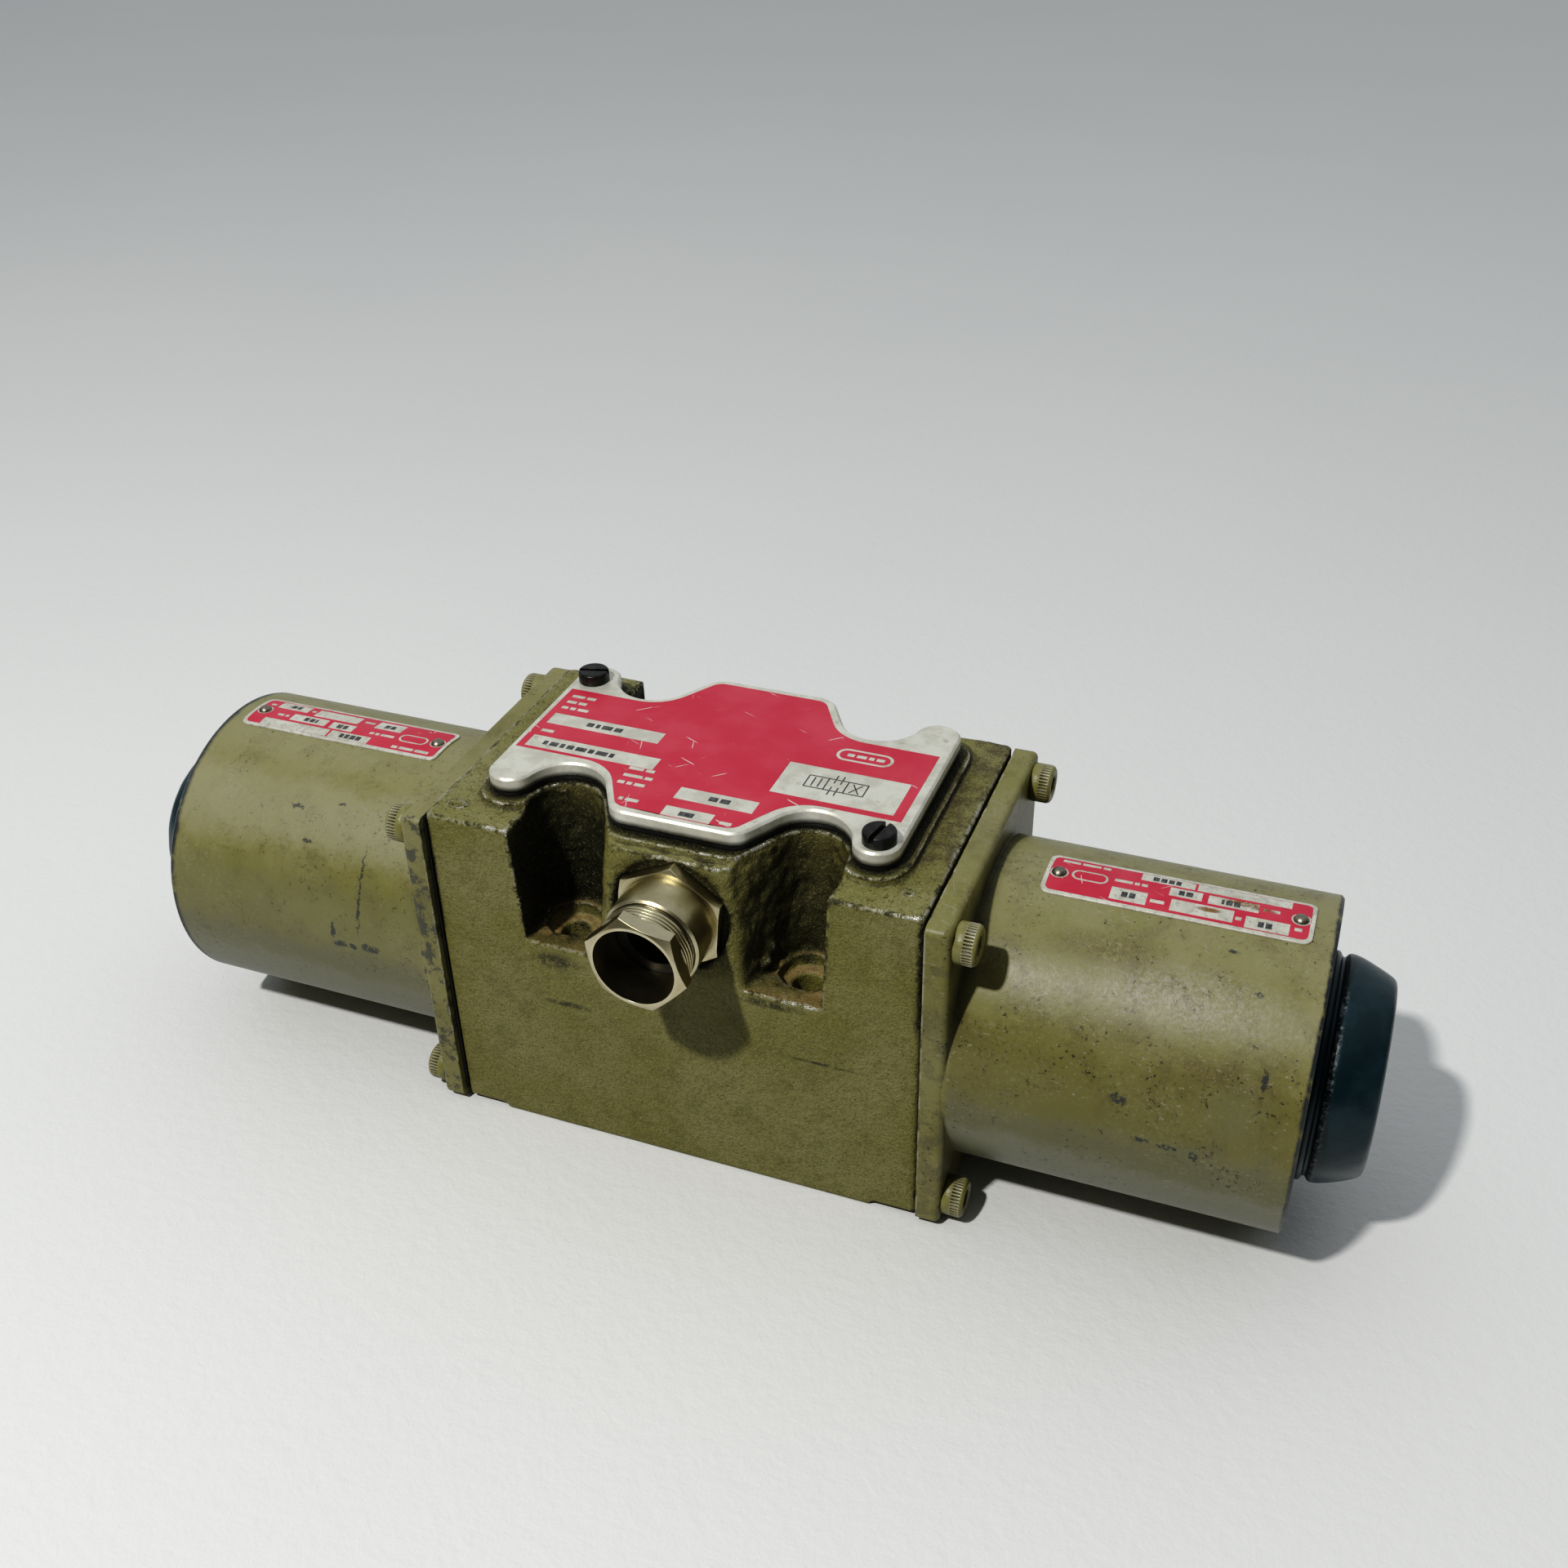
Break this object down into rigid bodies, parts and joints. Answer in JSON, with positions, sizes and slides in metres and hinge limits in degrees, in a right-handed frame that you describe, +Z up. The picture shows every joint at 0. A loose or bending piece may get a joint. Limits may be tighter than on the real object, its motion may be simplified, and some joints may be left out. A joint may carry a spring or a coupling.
{
  "type": "solenoid directional valve",
  "caption": "Spring-centred spool valve with a solenoid at each end, a side cable gland and a flat subplate mounting face.",
  "frame": {"origin": "centre of the bolt pattern on the mounting face", "axes": "+X along the spool towards solenoid b, -Y out through the cable gland, +Z up from the mounting face"},
  "size_m": [0.2832, 0.0852, 0.0886],
  "materials": {
    "cast_body": "olive-khaki paint over a sand-cast body, worn bright at the edges",
    "solenoid_paint": "olive-khaki paint on turned steel, scuffed and dirty",
    "gasket": "matt black sealing sheet",
    "cover": "satin plate with a worn crimson print",
    "black_screw": "black oxide",
    "painted_screw": "knurled heads painted over with the housing",
    "nickel": "nickel-plated brass, bright",
    "soft_seal": "oil-resistant rubber",
    "terminal_plastic": "grey moulded plastic",
    "terminal_brass": "plain brass",
    "ground_steel": "hardened and ground",
    "spring_steel": "oiled spring wire",
    "core_iron": "machined soft magnetic iron",
    "tube_steel": "thin non-magnetic stainless tube",
    "bobbin_plastic": "black glass-filled plastic",
    "copper": null,
    "lead": "plastic-covered wire",
    "boot": "blue-black moulded rubber, satin",
    "label": "thin aluminium strip with crimson print",
    "rivet": "dull steel"
  },
  "bodies": {
    "valve": {"valve_body": "cast_body", "port_seals": "soft_seal", "cover_gasket": "gasket", "cover_plate": "cover", "cover_screws": "black_screw", "gland_body": "nickel", "gland_seal": "soft_seal", "gland_nut": "nickel", "terminal_block": "terminal_plastic", "terminal_screws": "terminal_brass", "solenoid_housing_a": "solenoid_paint", "solenoid_housing_b": "solenoid_paint", "flange_gasket_a": "gasket", "flange_gasket_b": "gasket", "flange_screws_a": "painted_screw", "flange_screws_b": "painted_screw", "pole_seal_a": "soft_seal", "pole_seal_b": "soft_seal", "pole_piece_a": "core_iron", "pole_piece_b": "core_iron", "guide_tube_a": "tube_steel", "guide_tube_b": "tube_steel", "tube_plug_a": "terminal_brass", "tube_plug_b": "terminal_brass", "coil_bobbin_a": "bobbin_plastic", "coil_bobbin_b": "bobbin_plastic", "coil_winding_a": "copper", "coil_winding_b": "copper", "coil_leads_a": "lead", "coil_leads_b": "lead", "end_plate_a": "solenoid_paint", "end_plate_b": "solenoid_paint", "rubber_boot_a": "boot", "rubber_boot_b": "boot", "nameplate_a": "label", "nameplate_b": "label", "nameplate_rivets_a": "rivet", "nameplate_rivets_b": "rivet", "centring_spring_a": "spring_steel", "centring_spring_b": "spring_steel"},
    "spool_set": {"spool": "ground_steel", "spring_plate_a": "spring_steel", "spring_plate_b": "spring_steel"},
    "armature_train_a": {"armature_a": "core_iron", "push_rod_a": "ground_steel", "override_pin_a": "ground_steel"},
    "armature_train_b": {"armature_b": "core_iron", "push_rod_b": "ground_steel", "override_pin_b": "ground_steel"}
  },
  "joints": [
    {"name": "spool_slide", "type": "slide", "parent": "valve", "child": "spool_set", "axis": [1, 0, 0], "range_m": [-0.0035, 0.0035], "stiffness_N_per_m": 12000, "deforming": ["centring_spring_a", "centring_spring_b"]},
    {"name": "armature_a_slide", "type": "slide", "parent": "valve", "child": "armature_train_a", "axis": [1, 0, 0], "range_m": [-0.0035, 0.0035]},
    {"name": "armature_b_slide", "type": "slide", "parent": "valve", "child": "armature_train_b", "axis": [1, 0, 0], "range_m": [-0.0035, 0.0035]}
  ],
  "couplings": [
    {"joint": "armature_a_slide", "follows": "spool_slide", "ratio": 1},
    {"joint": "armature_b_slide", "follows": "spool_slide", "ratio": 1}
  ]
}
